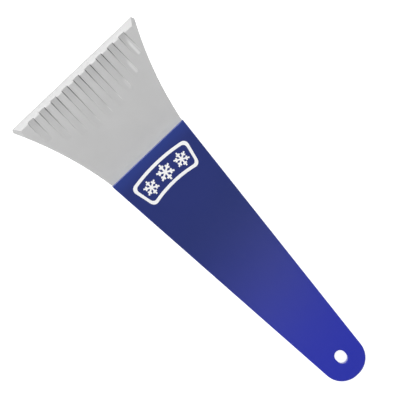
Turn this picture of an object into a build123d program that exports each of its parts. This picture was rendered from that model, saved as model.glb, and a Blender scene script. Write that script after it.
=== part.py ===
from build123d import *

import os
from math import radians, sqrt, tan

# Windshield ice scraper: a flared blade whose tang is held between the two halves of a hollow handle.
# Frame: millimetres, origin under the middle of the whole length on the handle's flat back, +Y towards
# the scraping edge, +X across the blade, +Z out of the ribbed and printed front.

# Driving dimensions
TOTAL_LENGTH = 254.0
BLADE_WIDTH = 102.4
BLADE_EXPOSED = 67.6
MOUTH_WIDTH = 59.7
TAIL_WIDTH = 26.3
TAIL_CORNER_RADIUS = 13.6
MOUTH_THICKNESS = 13.0
TAIL_THICKNESS = 9.6
FACE_ARCH = 0.8
PARTING_HEIGHT = 6.0
WALL = 2.0
DRAFT = 1.5
LIP_CLEARANCE = 0.1
OVERLAP = 1.0  # how far a solid runs into one it is joined to, or past one it cuts
TOUCH = 0.01

EDGE_Y = TOTAL_LENGTH / 2
TAIL_Y = -TOTAL_LENGTH / 2
MOUTH_Y = EDGE_Y - BLADE_EXPOSED

# Blade
BLADE_ROOT_THICKNESS = 4.4
BLADE_FRONT_THICKNESS = 3.2
EDGE_THICKNESS = 0.7
BEVEL_LENGTH = 4.75
BLADE_BACK_Z = PARTING_HEIGHT - BLADE_ROOT_THICKNESS / 2
BLADE_ROOT_TOP_Z = PARTING_HEIGHT + BLADE_ROOT_THICKNESS / 2
BLADE_FRONT_TOP_Z = BLADE_BACK_Z + BLADE_FRONT_THICKNESS
EDGE_TOP_Z = BLADE_BACK_Z + EDGE_THICKNESS
BLADE_ROOT_HALF = 29.3
CORNER_CUT_ACROSS = 1.1
CORNER_CUT_ALONG = 2.2
SIDE_MID_HALF = 38.35
SIDE_MID_FROM_EDGE = 32.4
SIDE_EDGE_LEAST = 0.8 * BLADE_EXPOSED
FACET_BACK_HALF = 46.7
FACET_LIP = 0.3
FACET_TOOL_SIZE = 60.0
BLADE_EDGE_ROUND = 0.4

# Ribs
RIB_COUNT = 9
RIB_PITCH = 9.53
RIB_WIDTH = 6.8
RIB_HEIGHT = 1.5
RIB_START = 3.6
RIB_DRAFT = 22.0
RIB_ARC_RADIUS = 54.4
RIB_ARC_CENTRE_BEYOND_EDGE = 17.7
RIB_ROUND = 0.3
RIB_CORNER_RADIUS = 0.8
RIB_ROOT_Z = BLADE_BACK_Z + OVERLAP
RIB_BURIED_LENGTH = 2.0

# Tang and the pins that hold it
TANG_LENGTH = 58.0
TANG_ROOT_HALF = 25.4
TANG_END_HALF = 19.8
TANG_CORNER_RADIUS = 4.0
PIN_RADIUS = 3.0
PIN_HOLE_RADIUS = 3.2
SOCKET_RADIUS = 3.1
BOSS_RADIUS = 4.8
PIN_END_Z = 1.3
SOCKET_FLOOR_Z = 1.2
PIN_PLACES = [(-13.0, MOUTH_Y - 17.0), (13.0, MOUTH_Y - 17.0), (0.0, MOUTH_Y - 46.0)]

# Shells
FACE_ROUND = 0.7
SEAM_CHAMFER = 0.25
LIP_THICKNESS = 0.9
LIP_HEIGHT = 1.2
LIP_END_Y = MOUTH_Y - 6.0
RIB_WALL = 1.2
CLAMP_RIB_FROM_MOUTH = [8.0, 30.0, 54.0]
STIFFENER_FROM_MOUTH = [78.0, 102.0, 126.0, 150.0]
SPINE_FROM_MOUTH = [62.0, 166.0]

# Hanging hole, slightly longer along the handle than across it
HOLE_WIDTH = 7.0
HOLE_LENGTH = 8.6
HOLE_FROM_TAIL = 15.0
HOLE_Y = TAIL_Y + HOLE_FROM_TAIL
COLLAR_WALL = 1.8
HOLE_ROUND = 0.5
NEAR_HOLE = 5.0

FAR = 400.0
UPRIGHT = (Align.CENTER, Align.CENTER, Align.MIN)


def prism_across(points):
    """A side view, given as (y, z) points, swept right across X."""
    face = make_face(Plane.YZ * Polyline(points, close=True))
    return extrude(face, amount=FAR / 2, both=True)


def blade_outline():
    """Flared front view: straight edge, cut corners and one concave arc down each side."""
    half = BLADE_WIDTH / 2
    corner_y = EDGE_Y - CORNER_CUT_ALONG
    mid_y = EDGE_Y - SIDE_MID_FROM_EDGE
    cut_x = half - CORNER_CUT_ACROSS
    lines = [
        Line((-cut_x, EDGE_Y), (cut_x, EDGE_Y)),
        Line((cut_x, EDGE_Y), (half, corner_y)),
        ThreePointArc((half, corner_y), (SIDE_MID_HALF, mid_y), (BLADE_ROOT_HALF, MOUTH_Y)),
        Line((BLADE_ROOT_HALF, MOUTH_Y), (-BLADE_ROOT_HALF, MOUTH_Y)),
        ThreePointArc((-BLADE_ROOT_HALF, MOUTH_Y), (-SIDE_MID_HALF, mid_y), (-half, corner_y)),
        Line((-half, corner_y), (-cut_x, EDGE_Y)),
    ]
    return make_face(lines)


def blade_side_view():
    """Flat back, face thinning towards the front, then the bevel down to the scraping edge."""
    return prism_across(
        [
            (MOUTH_Y, BLADE_BACK_Z),
            (EDGE_Y, BLADE_BACK_Z),
            (EDGE_Y, EDGE_TOP_Z),
            (EDGE_Y - BEVEL_LENGTH, BLADE_FRONT_TOP_Z),
            (MOUTH_Y, BLADE_ROOT_TOP_Z),
        ]
    )


def corner_facet(side):
    """The stock that the mitred facet beside one end of the bevel takes away."""
    inner = Vector(side * (BLADE_WIDTH / 2 - CORNER_CUT_ACROSS), EDGE_Y, EDGE_TOP_Z)
    outer = Vector(side * BLADE_WIDTH / 2, EDGE_Y - CORNER_CUT_ALONG, BLADE_BACK_Z + FACET_LIP)
    back = Vector(side * FACET_BACK_HALF, EDGE_Y - BEVEL_LENGTH, BLADE_FRONT_TOP_Z)
    normal = (outer - inner).cross(back - inner)
    if normal.Z < 0:
        normal = -normal
    plane = Plane(origin=back, x_dir=outer - back, z_dir=normal)
    return plane * Box(FACET_TOOL_SIZE, FACET_TOOL_SIZE, FACET_TOOL_SIZE, align=UPRIGHT)


def is_upright(edge):
    return abs(edge.tangent_at(0.5).Z) > 0.5


def rib(x):
    """One rib: tall and steep at the front, its top falling to the blade's face at the far end."""
    length = sqrt(RIB_ARC_RADIUS**2 - x**2) - RIB_ARC_CENTRE_BEYOND_EDGE - RIB_START
    start_y = EDGE_Y - RIB_START
    top_z = BLADE_FRONT_TOP_Z + RIB_HEIGHT
    face_slope = (BLADE_ROOT_TOP_Z - BLADE_FRONT_TOP_Z) / (BLADE_EXPOSED - BEVEL_LENGTH)
    end_z = BLADE_FRONT_TOP_Z + face_slope * (length + RIB_START - BEVEL_LENGTH)
    slope = (top_z - end_z) / length
    buried_y = start_y - length - RIB_BURIED_LENGTH
    buried_z = end_z - slope * RIB_BURIED_LENGTH
    wedge = prism_across(
        [(start_y, RIB_ROOT_Z), (start_y, top_z), (buried_y, buried_z), (buried_y, RIB_ROOT_Z)]
    )
    half_root = RIB_WIDTH / 2
    half_top = half_root - (top_z - RIB_ROOT_Z) * tan(radians(RIB_DRAFT))
    section = Polyline(
        [
            (x - half_root, start_y, RIB_ROOT_Z),
            (x + half_root, start_y, RIB_ROOT_Z),
            (x + half_top, start_y, top_z),
            (x - half_top, start_y, top_z),
        ],
        close=True,
    )
    bar = extrude(make_face(section), amount=start_y - buried_y, dir=(0, -1, 0))
    shaped = wedge & bar
    front = shaped.faces().sort_by(Axis.Y)[-1]
    shaped = fillet(front.edges().filter_by(is_upright), RIB_CORNER_RADIUS)
    top_edges = shaped.faces().sort_by(Axis.Z)[-1].edges().sort_by(Axis.Y)[1:]
    return fillet(top_edges, RIB_ROUND)


def rib_places():
    first = -(RIB_COUNT - 1) / 2 * RIB_PITCH
    return [first + i * RIB_PITCH for i in range(RIB_COUNT)]


def tang():
    """The part of the blade inside the handle, a plain plate with the pins' holes."""
    end_y = MOUTH_Y - TANG_LENGTH
    outline = make_face(
        Polyline(
            [
                (-TANG_ROOT_HALF, MOUTH_Y),
                (TANG_ROOT_HALF, MOUTH_Y),
                (TANG_END_HALF, end_y),
                (-TANG_END_HALF, end_y),
            ],
            close=True,
        )
    )
    outline = fillet(outline.vertices().sort_by(Axis.Y)[:2], TANG_CORNER_RADIUS)
    plate = Pos(0, 0, BLADE_BACK_Z) * extrude(outline, amount=BLADE_ROOT_THICKNESS)
    for x, y in PIN_PLACES:
        plate -= Pos(x, y, PARTING_HEIGHT) * Cylinder(PIN_HOLE_RADIUS, 2 * BLADE_ROOT_THICKNESS)
    return plate


def is_side_edge(edge):
    """Whether an edge is one of the long concave ones down the blade's sides."""
    return edge.length > SIDE_EDGE_LEAST and abs(edge.center().X) > BLADE_ROOT_HALF


def blade():
    stock = extrude(blade_outline(), amount=FAR)
    body = stock & blade_side_view()
    for side in (-1, 1):
        body -= corner_facet(side)
    side_edges = body.edges().filter_by(is_side_edge)
    body = fillet(side_edges, BLADE_EDGE_ROUND)
    for x in rib_places():
        body += rib(x)
    return body + tang()


def handle_outline():
    """Front view of the handle: straight taper from the mouth to a rounded tail."""
    outline = make_face(
        Polyline(
            [
                (-TAIL_WIDTH / 2, TAIL_Y),
                (TAIL_WIDTH / 2, TAIL_Y),
                (MOUTH_WIDTH / 2, MOUTH_Y),
                (-MOUTH_WIDTH / 2, MOUTH_Y),
            ],
            close=True,
        )
    )
    return fillet(outline.vertices().sort_by(Axis.Y)[:2], TAIL_CORNER_RADIUS)


def under_face(drop):
    """Everything lower than the handle's gently arched face, less the given drop."""
    in_front = MOUTH_Y + OVERLAP
    below = -OVERLAP
    start = (in_front, MOUTH_THICKNESS - drop)
    mouth = (MOUTH_Y, MOUTH_THICKNESS - drop)
    middle = ((MOUTH_Y + TAIL_Y) / 2, (MOUTH_THICKNESS + TAIL_THICKNESS) / 2 + FACE_ARCH - drop)
    tail = (TAIL_Y, TAIL_THICKNESS - drop)
    lines = [
        Line(start, mouth),
        ThreePointArc(mouth, middle, tail),
        Line(tail, (TAIL_Y, below)),
        Line((TAIL_Y, below), (in_front, below)),
        Line((in_front, below), start),
    ]
    face = make_face(Plane.YZ * Curve(lines))
    return extrude(face, amount=FAR / 2, both=True)


def hole_outline(margin):
    width = HOLE_WIDTH + 2 * margin
    length = HOLE_LENGTH + 2 * margin
    return Pos(0, HOLE_Y) * Rot(0, 0, 90) * SlotOverall(length, width)


def half_blank():
    """One solid half of the handle above z = 0, drafted inwards, its seam edge broken."""
    blank = extrude(handle_outline(), amount=MOUTH_THICKNESS, taper=DRAFT)
    seam = blank.edges().filter_by_position(Axis.Z, -TOUCH, TOUCH)
    return chamfer(seam, SEAM_CHAMFER)


def half_cavity(depth):
    inside = offset(handle_outline(), amount=-WALL)
    return extrude(inside, amount=depth, taper=DRAFT)


def upper(half):
    return Pos(0, 0, PARTING_HEIGHT) * half


def lower(half):
    return upper(mirror(half, about=Plane.XY))


def cross_ribs(from_mouth, low, high):
    """Walls right across the handle at the given distances from its mouth."""
    ribs = Part()
    for distance in from_mouth:
        wall = Box(MOUTH_WIDTH, RIB_WALL, high - low, align=UPRIGHT)
        ribs += Pos(0, MOUTH_Y - distance, low) * wall
    return ribs


def spine(low, high):
    start, end = SPINE_FROM_MOUTH
    wall = Box(RIB_WALL, end - start, high - low, align=(Align.CENTER, Align.MAX, Align.MIN))
    return Pos(0, MOUTH_Y - start, low) * wall


def tang_slot():
    """Room for the tang through the mouth's end wall."""
    slot = Box(2 * TANG_ROOT_HALF, 2 * (WALL + OVERLAP), BLADE_ROOT_THICKNESS)
    return Pos(0, MOUTH_Y, PARTING_HEIGHT) * slot


def lip(clearance):
    """The low wall inside the seam that locates the halves; the rebate for it is a little larger."""
    outer = offset(handle_outline(), amount=-(WALL - LIP_THICKNESS - clearance))
    inner = offset(handle_outline(), amount=-WALL)
    wall = Pos(0, 0, PARTING_HEIGHT) * extrude(outer - inner, amount=LIP_HEIGHT + clearance)
    behind_mouth = Box(FAR, FAR, FAR, align=(Align.CENTER, Align.MAX, Align.CENTER))
    return wall & Pos(0, LIP_END_Y, 0) * behind_mouth


def stiffening(clamp_low, clamp_high, low, high):
    """Ribs and collar inside one half; the first ribs stop at the tang that they clamp."""
    inner = cross_ribs(CLAMP_RIB_FROM_MOUTH, clamp_low, clamp_high)
    inner += cross_ribs(STIFFENER_FROM_MOUTH, low, high)
    inner += spine(low, high)
    inner += Pos(0, 0, low) * extrude(hole_outline(COLLAR_WALL), amount=high - low)
    boss = Cylinder(BOSS_RADIUS, clamp_high - clamp_low, align=UPRIGHT)
    for x, y in PIN_PLACES:
        inner += Pos(x, y, clamp_low) * boss
    return inner


def is_at_hole(edge):
    """Whether an edge lies round the hanging hole."""
    middle = edge.center()
    return Vector(middle.X, middle.Y - HOLE_Y).length < NEAR_HOLE


def cut_hole(shell, outer_face_end):
    """The hanging hole through one half. The rim to round is the lowest (end 0) or the highest (end -1)."""
    shell -= Pos(0, 0, -FAR / 2) * extrude(hole_outline(0), amount=FAR)
    rim = shell.edges().filter_by(is_at_hole).group_by(Axis.Z)[outer_face_end]
    return fillet(rim, HOLE_ROUND)


def back_shell():
    above_ground = Box(FAR, FAR, FAR, align=UPRIGHT)
    shell = lower(half_blank()) & above_ground
    shell = fillet(shell.faces().sort_by(Axis.Z)[0].edges(), FACE_ROUND)
    cavity = lower(half_cavity(PARTING_HEIGHT - WALL))
    inner = stiffening(WALL, BLADE_BACK_Z, WALL, PARTING_HEIGHT)
    shell = (shell - cavity) + (inner & cavity) - tang_slot() + lip(0)
    socket = Cylinder(SOCKET_RADIUS, PARTING_HEIGHT, align=UPRIGHT)
    for x, y in PIN_PLACES:
        shell -= Pos(x, y, SOCKET_FLOOR_Z) * socket
    return cut_hole(shell, 0)


def front_shell():
    shell = upper(half_blank()) & under_face(0)
    shell = fillet(shell.faces().sort_by(Axis.Z)[-1].edges(), FACE_ROUND)
    cavity = upper(half_cavity(MOUTH_THICKNESS)) & under_face(WALL)
    inner = stiffening(BLADE_ROOT_TOP_Z, MOUTH_THICKNESS, PARTING_HEIGHT, MOUTH_THICKNESS)
    shell = (shell - cavity) + (inner & cavity) - tang_slot() - lip(LIP_CLEARANCE)
    pin = Cylinder(PIN_RADIUS, BLADE_ROOT_TOP_Z + OVERLAP - PIN_END_Z, align=UPRIGHT)
    for x, y in PIN_PLACES:
        shell += Pos(x, y, PIN_END_Z) * pin
    return cut_hole(shell, -1)


os.makedirs("parts", exist_ok=True)
NODES = {
    "blade": blade(),
    "handle_back_shell": back_shell(),
    "handle_front_shell": front_shell(),
}
for name, shape in NODES.items():
    export_step(shape, f"parts/{name}.step")
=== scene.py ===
"""Looks for the windshield ice scraper: its materials, the printed mark and the studio.

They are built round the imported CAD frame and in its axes, in metres: +Y towards the scraping edge,
+X across the blade and +Z out of the printed face.
"""

import math

import bmesh
import bpy
from mathutils import Matrix, Quaternion, Vector
from mathutils.bvhtree import BVHTree


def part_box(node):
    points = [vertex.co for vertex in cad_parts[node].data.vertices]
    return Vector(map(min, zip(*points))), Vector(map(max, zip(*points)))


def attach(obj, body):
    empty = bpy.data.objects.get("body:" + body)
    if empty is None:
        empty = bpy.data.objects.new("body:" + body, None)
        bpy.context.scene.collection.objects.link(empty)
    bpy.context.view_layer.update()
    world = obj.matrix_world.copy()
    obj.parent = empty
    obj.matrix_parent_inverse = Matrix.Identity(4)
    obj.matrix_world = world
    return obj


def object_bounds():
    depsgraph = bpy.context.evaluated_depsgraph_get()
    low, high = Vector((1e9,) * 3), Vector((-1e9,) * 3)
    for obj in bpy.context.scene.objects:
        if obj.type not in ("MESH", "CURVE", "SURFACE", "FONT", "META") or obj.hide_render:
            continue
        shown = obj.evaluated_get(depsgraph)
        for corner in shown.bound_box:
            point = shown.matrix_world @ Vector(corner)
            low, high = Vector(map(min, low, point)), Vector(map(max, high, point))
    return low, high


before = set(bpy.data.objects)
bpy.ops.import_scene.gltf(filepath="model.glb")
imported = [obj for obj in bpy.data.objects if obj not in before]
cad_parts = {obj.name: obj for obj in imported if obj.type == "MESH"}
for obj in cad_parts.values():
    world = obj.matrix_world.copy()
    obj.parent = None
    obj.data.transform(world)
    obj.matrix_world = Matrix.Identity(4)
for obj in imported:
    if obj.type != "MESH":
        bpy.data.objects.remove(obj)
bpy.context.view_layer.update()
cad_low, cad_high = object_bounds()

MM = 0.001
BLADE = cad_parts["blade"]
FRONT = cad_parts["handle_front_shell"]
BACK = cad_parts["handle_back_shell"]
blade_low, blade_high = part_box("blade")
handle_low, handle_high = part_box("handle_front_shell")
EDGE_Y = blade_high.y
MOUTH_Y = handle_high.y
TAIL_Y = handle_low.y
FRONT_MIDDLE_Z = (handle_low.z + handle_high.z) / 2

# The blade's sizes that its material follows.
BEVEL_LENGTH = 4.75 * MM
BEVEL_Y = EDGE_Y - BEVEL_LENGTH
BLADE_UNDERSIDE = blade_low.z
BLADE_AT_EDGE = 0.7 * MM
BLADE_AT_BEVEL = 3.2 * MM
BLADE_AT_MOUTH = 4.4 * MM
RIB_START = 3.6 * MM
RIB_PITCH = 9.53 * MM
RIB_ARC_CENTRE = (0, EDGE_Y + 17.7 * MM)


# ---------------------------------------------------------------- node helpers


class Shader:
    """A material's node tree with short calls for the nodes used here."""

    def __init__(self, name):
        self.material = bpy.data.materials.new(name)
        self.material.use_nodes = True
        self.tree = self.material.node_tree
        self.bsdf = self.tree.nodes["Principled BSDF"]
        self.place = self.add("ShaderNodeTexCoord").outputs["Object"]

    def add(self, kind, **settings):
        node = self.tree.nodes.new(kind)
        for key, value in settings.items():
            setattr(node, key, value)
        return node

    def put(self, value, socket):
        """Links a socket, or sets a plain value."""
        if isinstance(value, bpy.types.NodeSocket):
            self.tree.links.new(value, socket)
        else:
            socket.default_value = value

    def math(self, operation, a, b=0.0, c=0.0):
        node = self.add("ShaderNodeMath", operation=operation)
        for value, socket in zip((a, b, c), node.inputs):
            self.put(value, socket)
        return node.outputs[0]

    def product(self, *values):
        total = values[0]
        for value in values[1:]:
            total = self.math("MULTIPLY", total, value)
        return total

    def between(self, value, low, high, out_low=0.0, out_high=1.0):
        """A smooth step from out_low to out_high while value goes from low to high."""
        node = self.add("ShaderNodeMapRange", interpolation_type="SMOOTHSTEP")
        self.put(value, node.inputs["Value"])
        node.inputs["From Min"].default_value = low
        node.inputs["From Max"].default_value = high
        node.inputs["To Min"].default_value = out_low
        node.inputs["To Max"].default_value = out_high
        return node.outputs["Result"]

    def noise(self, size, detail=3.0, stretch=(1, 1, 1)):
        """Noise whose features are about size metres across."""
        mapping = self.add("ShaderNodeMapping")
        self.put(self.place, mapping.inputs["Vector"])
        mapping.inputs["Scale"].default_value = stretch
        node = self.add("ShaderNodeTexNoise")
        self.put(mapping.outputs[0], node.inputs["Vector"])
        node.inputs["Scale"].default_value = 1 / size
        node.inputs["Detail"].default_value = detail
        return node.outputs["Fac"]

    def patches(self, size, low, high, out_low=0.0, out_high=1.0, detail=3.0, stretch=(1, 1, 1)):
        """Noise with more contrast: out_low where it is under low, out_high where it is over high."""
        return self.between(self.noise(size, detail, stretch), low, high, out_low, out_high)

    def mix(self, factor, a, b):
        node = self.add("ShaderNodeMix", data_type="RGBA")
        self.put(factor, node.inputs["Factor"])
        self.put(a, node.inputs["A"])
        self.put(b, node.inputs["B"])
        return node.outputs["Result"]

    def part(self, vector, name):
        """One of the X, Y and Z parts of a vector."""
        node = self.add("ShaderNodeSeparateXYZ")
        self.put(vector, node.inputs[0])
        return node.outputs[name]

    def axis(self, name):
        """One part of the place on the object."""
        return self.part(self.place, name)

    def normal(self, name):
        """One part of the surface's normal."""
        return self.part(self.add("ShaderNodeNewGeometry").outputs["Normal"], name)

    def distance(self, centre):
        """Distance in plan from a centre (x, y)."""
        across = self.math("SUBTRACT", self.axis("X"), centre[0])
        along = self.math("SUBTRACT", self.axis("Y"), centre[1])
        squares = self.math("MULTIPLY_ADD", along, along, self.math("MULTIPLY", across, across))
        return self.math("SQRT", squares)

    def slope_in_y(self, y_from, value_from, y_to, value_to):
        """A value that changes evenly along Y."""
        slope = (value_to - value_from) / (y_to - y_from)
        return self.math("MULTIPLY_ADD", self.axis("Y"), slope, value_from - slope * y_from)

    def surface(self, tone, roughness, *bumps):
        """Gives the surface its colour, roughness and bumps, each bump as (height, depth in metres)."""
        self.put(tone, self.bsdf.inputs["Base Color"])
        self.put(roughness, self.bsdf.inputs["Roughness"])
        normal = None
        for height, depth in bumps:
            node = self.add("ShaderNodeBump")
            node.inputs["Distance"].default_value = depth
            self.put(height, node.inputs["Height"])
            if normal is not None:
                self.put(normal, node.inputs["Normal"])
            normal = node.outputs["Normal"]
        self.put(normal, self.bsdf.inputs["Normal"])


def grey(value):
    return (value, value, value, 1.0)


# ---------------------------------------------------------------- handle material

MIDDLE_BLUE = (0.015, 0.028, 0.168, 1)
# Painted light: the blue at the tail is brighter, standing in for the light falling there.
TAIL_PAINTED_LIGHT_BLUE = (0.0195, 0.0300, 0.465, 1)
MOUTH_BLUE = (0.019, 0.042, 0.240, 1)
CLOUD_BLUE = (0.035, 0.045, 0.260, 1)
RUBBED_BLUE = (0.070, 0.095, 0.420, 1)
CLOUD_COVER = 0.08
RUBBED_COVER = 0.4
HANDLE_ROUGHNESS = (0.290, 0.325)
HANDLE_GRAIN_DEPTH = 0.006 * MM
HANDLE_SCRATCH_DEPTH = 0.002 * MM

# How far from the tail the painted light on its blue starts to fade and has gone, and how far the mouth's
# blue reaches.
TAIL_BLUE_FADE = (9 * MM, 135 * MM)
MOUTH_BLUE_LENGTH = 11 * MM

# The normal's upward part is 0 on a side wall and 1 on a flat face. A rounded edge lies in between.
OFF_THE_SIDE_WALL = (0.15, 0.40)
ONTO_THE_FLAT_FACE = (0.92, 0.99)


def handle_material():
    """Satin blue moulding with a fine grain, painted light that brightens the blue towards the tail, and
    edges rubbed paler.
    """
    s = Shader("handle_blue")
    from_tail = s.math("SUBTRACT", s.axis("Y"), TAIL_Y)
    from_mouth = s.math("SUBTRACT", MOUTH_Y, s.axis("Y"))
    # Painted light: the blue brightens towards the tail.
    tone = s.mix(s.between(from_tail, *TAIL_BLUE_FADE, 1.0, 0.0), MIDDLE_BLUE, TAIL_PAINTED_LIGHT_BLUE)
    tone = s.mix(s.between(from_mouth, 0.0, MOUTH_BLUE_LENGTH, 1.0, 0.0), tone, MOUTH_BLUE)
    cloud = s.patches(30 * MM, low=0.3, high=0.7, out_high=CLOUD_COVER, detail=4.0)
    tone = s.mix(cloud, tone, CLOUD_BLUE)

    upward = s.math("ABSOLUTE", s.normal("Z"))
    rubbed = s.product(
        s.between(upward, *OFF_THE_SIDE_WALL),
        s.between(upward, *ONTO_THE_FLAT_FACE, 1.0, 0.0),
        s.patches(5 * MM, low=0.42, high=0.62, out_high=RUBBED_COVER, detail=6.0),
    )
    tone = s.mix(rubbed, tone, RUBBED_BLUE)

    roughness = s.patches(2 * MM, 0.2, 0.8, *HANDLE_ROUGHNESS)
    grain = s.noise(0.35 * MM, detail=2.0)
    scratches = s.patches(1.2 * MM, low=0.60, high=0.72, detail=2.0, stretch=(1, 0.05, 1))
    s.surface(tone, roughness, (grain, HANDLE_GRAIN_DEPTH), (scratches, HANDLE_SCRATCH_DEPTH))
    return s.material


# ---------------------------------------------------------------- blade material

FACE_GREYS = (0.550, 0.568)
BEVEL_GREY = 0.55
SCUFFED_GREY = 0.46
# Painted light: a paler tone beside the mouth lifts the shade that the handle's mouth casts on the blade.
PAINTED_LIGHT_BESIDE_MOUTH_TONE = (0.645, 0.645, 0.625, 1)
# Painted shade: the rib tops are greyer than the face, as if less light came through the thicker plastic.
RIB_TOP_SHADE_GREY = 0.49
# Painted shade: the rib walls are dark grey where shade falls on them.
RIB_WALL_SHADE_GREY = 0.15
# Painted highlight: near-white glints on the ribs' +X edges and in streaks at their low ends.
PAINTED_HIGHLIGHT_GREY = 0.95
BLADE_ROUGHNESS = (0.38, 0.46)
BLADE_GRAIN_DEPTH = 0.012 * MM
BLADE_SCRATCH_DEPTH = 0.010 * MM
SCATTER_LENGTH = 0.5 * MM

# Where the tones change: distances from the scraping edge and the mouth, then heights above the face.
SCUFFED_FADE = (0.3 * MM, 1.1 * MM)
SCRATCHED_FADE = (1 * MM, 9 * MM)
BEVEL_END = (BEVEL_LENGTH - 0.3 * MM, BEVEL_LENGTH + 0.2 * MM)
BESIDE_MOUTH_LENGTH = 10 * MM
OFF_THE_BEVEL = (0.10 * MM, 0.30 * MM)
ONTO_A_RIB = (0.02 * MM, 0.12 * MM)
RIB_TOP_RISE = (0.7 * MM, 1.5 * MM)
RIB_TOP_COVER = 0.8

# A rib's wall is where the normal leans across the blade. Painted shade darkens its grey just behind the
# rib's front and fades along the rib. Each pair of distances from the scraping edge has its pair of
# covers.
WALL_STEEPNESS = (0.35, 0.75)
WALL_DARKENS = (RIB_START, 5.5 * MM)
WALL_DARKENS_COVER = (0.25, 1.0)
WALL_FADES = (5 * MM, 17 * MM)
WALL_FADES_COVER = (1.0, 0.4)

# The ribs end on an arc. These are distances from its centre.
WALL_ENDS = (35 * MM, 52 * MM)
WALL_ENDS_COVER = (1.0, 0.3)
PALE_EDGE_STARTS = (45 * MM, 50 * MM)
STREAK_STARTS = (45.5 * MM, 49 * MM)

# The normal's part across the blade is 0 on a rib's top and near 1 on its +X wall.
OFF_THE_RIB_TOP = (0.08, 0.30)
ONTO_THE_RIB_WALL = (0.80, 0.92)

# The painted highlights on the edges and streaks get stronger across the blade, from -X to +X.
PALE_EDGE_ACROSS = (-40 * MM, 35 * MM)
PALE_EDGE_COVER = (0.3, 1.0)
STREAK_ACROSS = (10 * MM, 42 * MM)
STREAK_COVER = (0.02, 0.47)

# A painted highlight streak runs beside its rib's middle line, nearer to it on the outermost rib than on
# the next.
STREAK_SHIFT_ACROSS = (28 * MM, 38 * MM)
STREAK_OFF_MIDDLE = (1.1 * MM, 0.3 * MM)
STREAK_HALF_WIDTH = (0.3 * MM, 1.4 * MM)


def blade_face_tone(s, behind_edge, above_face):
    """The face: faintly clouded grey, plain on the bevel, dull at the edge, and painted light beside the
    mouth that lifts the shade the handle casts there.
    """
    cloud = s.patches(18 * MM, low=0.3, high=0.7)
    tone = s.mix(cloud, *[grey(value) for value in FACE_GREYS])
    bevel = s.product(
        s.between(behind_edge, *BEVEL_END, 1.0, 0.0),
        s.between(above_face, *OFF_THE_BEVEL, 1.0, 0.0),
    )
    tone = s.mix(bevel, tone, grey(BEVEL_GREY))
    tone = s.mix(s.between(behind_edge, *SCUFFED_FADE, 1.0, 0.0), tone, grey(SCUFFED_GREY))
    from_mouth = s.math("SUBTRACT", s.axis("Y"), MOUTH_Y)
    # Painted light beside the mouth, against the handle's shade.
    return s.mix(s.between(from_mouth, 0.0, BESIDE_MOUTH_LENGTH, 1.0, 0.0), tone, PAINTED_LIGHT_BESIDE_MOUTH_TONE)


def height_above_face(s):
    """Height above the blade's plain front face and bevel: zero on them, and more on the ribs."""
    height = s.math("SUBTRACT", s.axis("Z"), BLADE_UNDERSIDE)
    face = s.slope_in_y(BEVEL_Y, BLADE_AT_BEVEL, MOUTH_Y, BLADE_AT_MOUTH)
    bevel = s.slope_in_y(EDGE_Y, BLADE_AT_EDGE, BEVEL_Y, BLADE_AT_BEVEL)
    return s.math("SUBTRACT", height, s.math("MINIMUM", face, bevel))


def streak_width(s):
    """One along a painted highlight streak's middle line, falling to zero at its sides, on every rib."""
    across_rib = s.math("WRAP", s.axis("X"), RIB_PITCH / 2, -RIB_PITCH / 2)
    streak_middle = s.between(s.axis("X"), *STREAK_SHIFT_ACROSS, *STREAK_OFF_MIDDLE)
    off_middle = s.math("ABSOLUTE", s.math("SUBTRACT", across_rib, streak_middle))
    return s.between(off_middle, *STREAK_HALF_WIDTH, 1.0, 0.0)


def rib_tone(s, tone, behind_edge, above_face):
    """The ribs: painted shade on their tops and side walls, and painted highlights on their edges and in
    streaks where they sink into the face.
    """
    # Painted shade: darker rib tops.
    tone = s.mix(s.between(above_face, *RIB_TOP_RISE, 0.0, RIB_TOP_COVER), tone, grey(RIB_TOP_SHADE_GREY))

    on_rib = s.between(above_face, *ONTO_A_RIB)
    from_arc_centre = s.distance(RIB_ARC_CENTRE)
    # Painted shade on the rib walls.
    wall = s.product(
        on_rib,
        s.between(s.math("ABSOLUTE", s.normal("X")), *WALL_STEEPNESS),
        s.between(behind_edge, *WALL_DARKENS, *WALL_DARKENS_COVER),
        s.between(behind_edge, *WALL_FADES, *WALL_FADES_COVER),
        s.between(from_arc_centre, *WALL_ENDS, *WALL_ENDS_COVER),
    )
    # Painted highlight on the ribs' +X edges near their low ends.
    painted_highlight_edge = s.product(
        on_rib,
        s.between(s.normal("X"), *OFF_THE_RIB_TOP),
        s.between(s.normal("X"), *ONTO_THE_RIB_WALL, 1.0, 0.0),
        s.between(from_arc_centre, *PALE_EDGE_STARTS),
        s.between(s.axis("X"), *PALE_EDGE_ACROSS, *PALE_EDGE_COVER),
    )
    # Painted highlight streaks along the ribs' low ends.
    painted_highlight_streak = s.product(
        on_rib,
        streak_width(s),
        s.between(from_arc_centre, *STREAK_STARTS),
        s.between(s.axis("X"), *STREAK_ACROSS, *STREAK_COVER),
    )
    # Painted shade on the walls, then painted highlights on the edges and streaks.
    tone = s.mix(wall, tone, grey(RIB_WALL_SHADE_GREY))
    tone = s.mix(painted_highlight_edge, tone, grey(PAINTED_HIGHLIGHT_GREY))
    return s.mix(painted_highlight_streak, tone, grey(PAINTED_HIGHLIGHT_GREY))


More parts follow.
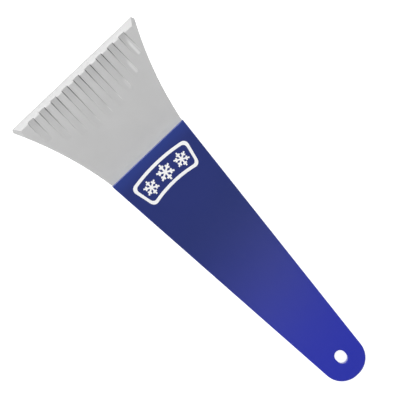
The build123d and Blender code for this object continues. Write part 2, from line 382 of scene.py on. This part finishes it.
def blade_material():
    """Frosted translucent grey moulding: soft scattering, fine grain, scratches near the edge, and
    painted light and shade beside the mouth and on the ribs.
    """
    s = Shader("blade_frosted")
    behind_edge = s.math("SUBTRACT", EDGE_Y, s.axis("Y"))
    above_face = height_above_face(s)
    tone = blade_face_tone(s, behind_edge, above_face)
    tone = rib_tone(s, tone, behind_edge, above_face)
    s.bsdf.inputs["Subsurface Weight"].default_value = 1.0
    s.bsdf.inputs["Subsurface Radius"].default_value = (1.0, 1.0, 1.0)
    s.bsdf.inputs["Subsurface Scale"].default_value = SCATTER_LENGTH

    roughness = s.patches(3 * MM, 0.2, 0.8, *BLADE_ROUGHNESS)
    grain = s.noise(0.4 * MM, detail=2.0)
    scratches = s.product(
        s.patches(0.8 * MM, low=0.55, high=0.70, stretch=(1, 0.08, 1)),
        s.between(behind_edge, *SCRATCHED_FADE, 1.0, 0.0),
    )
    s.surface(tone, roughness, (grain, BLADE_GRAIN_DEPTH), (scratches, BLADE_SCRATCH_DEPTH))
    return s.material


# ---------------------------------------------------------------- ink and floor materials

INK_GREYS = (0.91, 0.95)
INK_ROUGHNESS = (0.50, 0.62)
INK_GRAIN_DEPTH = 0.004 * MM
FLOOR_GREYS = (0.58, 0.60)
FLOOR_GLOW = 0.95


def ink_material():
    """Matte white pad-printing ink, a little uneven in cover."""
    s = Shader("print_ink")
    cover = s.patches(1.2 * MM, low=0.35, high=0.75, detail=4.0)
    tone = s.mix(cover, *[grey(value) for value in INK_GREYS])
    roughness = s.patches(0.8 * MM, 0.3, 0.7, *INK_ROUGHNESS)
    s.surface(tone, roughness, (s.noise(0.3 * MM, detail=2.0), INK_GRAIN_DEPTH))
    return s.material


def floor_material():
    """White acrylic light table: it glows, so that nothing on it throws a hard shadow."""
    s = Shader("studio_floor")
    tone = s.mix(s.noise(0.5), *[grey(value) for value in FLOOR_GREYS])
    s.put(tone, s.bsdf.inputs["Base Color"])
    s.bsdf.inputs["Roughness"].default_value = 0.8
    s.bsdf.inputs["Specular IOR Level"].default_value = 0.1
    s.bsdf.inputs["Emission Color"].default_value = grey(1.0)
    s.bsdf.inputs["Emission Strength"].default_value = FLOOR_GLOW
    s.material.cycles.emission_sampling = "NONE"
    return s.material


def dress(node, material):
    """Gives a CAD node its material."""
    for slot in node.material_slots:
        slot.material = material


# ---------------------------------------------------------------- the printed mark

PRINT_WIDTH = 46 * MM
PRINT_HEIGHT = 17.4 * MM
PRINT_BOW = 2.4 * MM
PRINT_CORNER = 3.6 * MM
PRINT_STROKE = 2.0 * MM
PRINT_WAIST = 0.82
PRINT_Y = MOUTH_Y - 18.5 * MM
CORNER_STEPS = 8
SIDE_STEPS = 16
INK_THICKNESS = 0.02 * MM

# A flake's half stroke, the place of its side branches and their length, as parts of its radius.
FLAKE_HALF_STROKE = 0.10
FLAKE_FORK = 0.54
FLAKE_BRANCH = 0.30
FLAKE_LEAN = math.radians(60)

# Each flake's x, y and radius.
FLAKE_PLACES = {
    "print_flake_left": (-12.6 * MM, 1.4 * MM, 5.0 * MM),
    "print_flake_middle": (0.0, 2.4 * MM, 5.7 * MM),
    "print_flake_right": (12.6 * MM, 1.4 * MM, 5.0 * MM),
}


def flake_outline(x, y, radius):
    """Six-armed snowflake with one pair of side branches on each arm, as one outline."""
    half = FLAKE_HALF_STROKE * radius
    fork = FLAKE_FORK * radius
    near_corner = fork + half / math.tan(FLAKE_LEAN) - half / math.sin(FLAKE_LEAN)
    far_corner = fork + half / math.tan(FLAKE_LEAN) + half / math.sin(FLAKE_LEAN)
    along = Vector((math.cos(FLAKE_LEAN), math.sin(FLAKE_LEAN)))
    across = half * Vector((math.sin(FLAKE_LEAN), -math.cos(FLAKE_LEAN)))
    tip = Vector((fork, 0)) + FLAKE_BRANCH * radius * along
    upper = [
        Vector((near_corner, half)),
        tip - across,
        tip + across,
        Vector((far_corner, half)),
        Vector((radius, half)),
    ]
    lower = [Vector((p.x, -p.y)) for p in upper]
    notch = Vector((math.sqrt(3) * half, -half))
    arm = [notch] + lower + upper[::-1]
    points = []
    for turn in range(6):
        spin = Matrix.Rotation(math.radians(30 + 60 * turn), 2)
        points += [Vector((x, y)) + spin @ p for p in arm]
    return points


def rounded_box(half_wide, half_high, corner):
    """Points round a rectangle with round corners, near enough to each other to be bowed afterwards."""
    quarters = ((1, 1), (-1, 1), (-1, -1), (1, -1))
    centres = [Vector((x * (half_wide - corner), y * (half_high - corner))) for x, y in quarters]

    def on_arc(quarter, degrees):
        angle = math.radians(90 * quarter + degrees)
        return centres[quarter % 4] + corner * Vector((math.cos(angle), math.sin(angle)))

    points = []
    for quarter in range(4):
        points += [on_arc(quarter, 90 * i / CORNER_STEPS) for i in range(CORNER_STEPS + 1)]
        start, end = points[-1], on_arc(quarter + 1, 0)
        points += [start.lerp(end, i / SIDE_STEPS) for i in range(1, SIDE_STEPS)]
    return points


def windscreen_outline(inset):
    """A windscreen: a rounded box, narrower at the bottom, with its top and bottom bowed upwards."""
    half_wide, half_high = PRINT_WIDTH / 2, PRINT_HEIGHT / 2
    points = []
    for p in rounded_box(half_wide - inset, half_high - inset, PRINT_CORNER - inset / 2):
        narrow = PRINT_WAIST + (1 - PRINT_WAIST) * (p.y / half_high + 1) / 2
        bow = PRINT_BOW * (1 - (p.x / half_wide) ** 2)
        points.append(Vector((p.x * narrow, p.y + bow)))
    return points


def ink_piece(name, loops, material, face):
    """A thin film on the face: one outline, or an outer and an inner one with as many points."""
    mesh = bmesh.new()

    def level(lift):
        rings = []
        for loop in loops:
            places = [Vector((p.x, PRINT_Y + p.y, 0)) for p in loop]
            rings.append([mesh.verts.new(p + Vector((0, 0, face(p) + lift))) for p in places])
        return rings

    top, bottom = level(INK_THICKNESS), level(-INK_THICKNESS)
    for upper, under in zip(top, bottom):
        for i in range(len(upper)):
            mesh.faces.new((upper[i - 1], under[i - 1], under[i], upper[i]))
    for rings in (top, bottom):
        if len(rings) == 1:
            mesh.faces.new(rings[0])
            continue
        outer, inner = rings
        for i in range(len(outer)):
            mesh.faces.new((outer[i - 1], outer[i], inner[i], inner[i - 1]))
    mesh.normal_update()
    bmesh.ops.triangulate(mesh, faces=[f for f in mesh.faces if len(f.verts) > 4])
    bmesh.ops.recalc_face_normals(mesh, faces=mesh.faces)
    data = bpy.data.meshes.new(name)
    mesh.to_mesh(data)
    mesh.free()
    data.materials.append(material)
    piece = bpy.data.objects.new(name, data)
    bpy.context.scene.collection.objects.link(piece)
    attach(piece, "root")


def printed_mark():
    """A windscreen with three snowflakes, in white ink on the handle's face."""
    material = ink_material()
    corners = [v.co for v in FRONT.data.vertices]
    tree = BVHTree.FromPolygons(corners, [p.vertices for p in FRONT.data.polygons])

    def face(place):
        return tree.ray_cast(place + Vector((0, 0, 1)), Vector((0, 0, -1)))[0].z

    border = [windscreen_outline(0), windscreen_outline(PRINT_STROKE)]
    ink_piece("print_windscreen", border, material, face)
    for name, (x, y, radius) in FLAKE_PLACES.items():
        ink_piece(name, [flake_outline(x, y, radius)], material, face)


# ---------------------------------------------------------------- studio

VIEW_WIDTH = 256.4 * MM
VIEW_TURN = math.radians(-43.56)
VIEW_CENTRE = Vector((3.8 * MM, 7.9 * MM, FRONT_MIDDLE_Z))
LENS = 200
FLOOR_HALF = 6.0

# The world's light fades from the horizon's to the walls' between these heights of a unit direction.
HORIZON_TO_WALL = (0.05, 0.16)
HORIZON_LIGHT = 1.0
WALL_LIGHT = 0.24


def camera():
    """Straight down on the printed face, turned so that the blade points to the upper left."""
    data = bpy.data.cameras.new("camera")
    data.lens = LENS
    away = VIEW_WIDTH * LENS / data.sensor_width
    eye = bpy.data.objects.new("camera", data)
    eye.location = VIEW_CENTRE + Vector((0, 0, away))
    eye.rotation_euler = (0, 0, VIEW_TURN)
    bpy.context.scene.collection.objects.link(eye)
    bpy.context.scene.camera = eye


def softbox(name, place, size, power, aim, turn=0.0):
    """A rectangular lamp at a place, aimed at another and turned about its own axis."""
    data = bpy.data.lights.new(name, "AREA")
    data.shape = "RECTANGLE"
    data.size, data.size_y = size
    data.energy = power
    lamp = bpy.data.objects.new(name, data)
    lamp.location = place
    facing = (Vector(aim) - Vector(place)).to_track_quat("-Z", "Y")
    lamp.rotation_euler = (facing @ Quaternion((0, 0, 1), turn)).to_euler()
    bpy.context.scene.collection.objects.link(lamp)


def light_table():
    """A large glowing floor under the object."""
    mesh = bmesh.new()
    corners = [(FLOOR_HALF * x, FLOOR_HALF * y) for x, y in ((-1, -1), (1, -1), (1, 1), (-1, 1))]
    mesh.faces.new([mesh.verts.new((x, y, cad_low.z)) for x, y in corners])
    data = bpy.data.meshes.new("studio_floor")
    mesh.to_mesh(data)
    mesh.free()
    data.materials.append(floor_material())
    floor = bpy.data.objects.new("studio_floor", data)
    bpy.context.scene.collection.objects.link(floor)


def studio_walls():
    """World light: white at the horizon, which is the background, and dim grey walls and ceiling."""
    world = bpy.data.worlds.new("studio")
    world.use_nodes = True
    nodes, links = world.node_tree.nodes, world.node_tree.links
    place = nodes.new("ShaderNodeTexCoord")
    split = nodes.new("ShaderNodeSeparateXYZ")
    fall = nodes.new("ShaderNodeMapRange")
    fall.inputs["From Min"].default_value = HORIZON_TO_WALL[0]
    fall.inputs["From Max"].default_value = HORIZON_TO_WALL[1]
    fall.inputs["To Min"].default_value = HORIZON_LIGHT
    fall.inputs["To Max"].default_value = WALL_LIGHT
    links.new(place.outputs["Generated"], split.inputs[0])
    links.new(split.outputs["Z"], fall.inputs["Value"])
    links.new(fall.outputs["Result"], nodes["Background"].inputs["Color"])
    bpy.context.scene.world = world


def studio():
    """A light table with softboxes over the blade and the tail, and a dim strip over the handle."""
    light_table()
    studio_walls()
    softbox("blade_softbox", place=(-0.12, 0.95, 0.75), size=(1.0, 0.5), power=15.0, aim=(0, 0.08, 0))
    softbox("tail_softbox", place=(0, -1.1, 0.9), size=(1.0, 0.5), power=3.6, aim=(0, 0, 0))
    softbox(
        "handle_strip",
        place=(0, -0.075, 0.30),
        size=(0.12, 0.03),
        power=0.025,
        aim=(0, -0.075, 0),
        turn=math.radians(32),
    )
    bpy.context.scene.view_settings.view_transform = "Standard"


camera()
studio()
blue = handle_material()
dress(FRONT, blue)
dress(BACK, blue)
dress(BLADE, blade_material())
printed_mark()

bpy.context.view_layer.update()
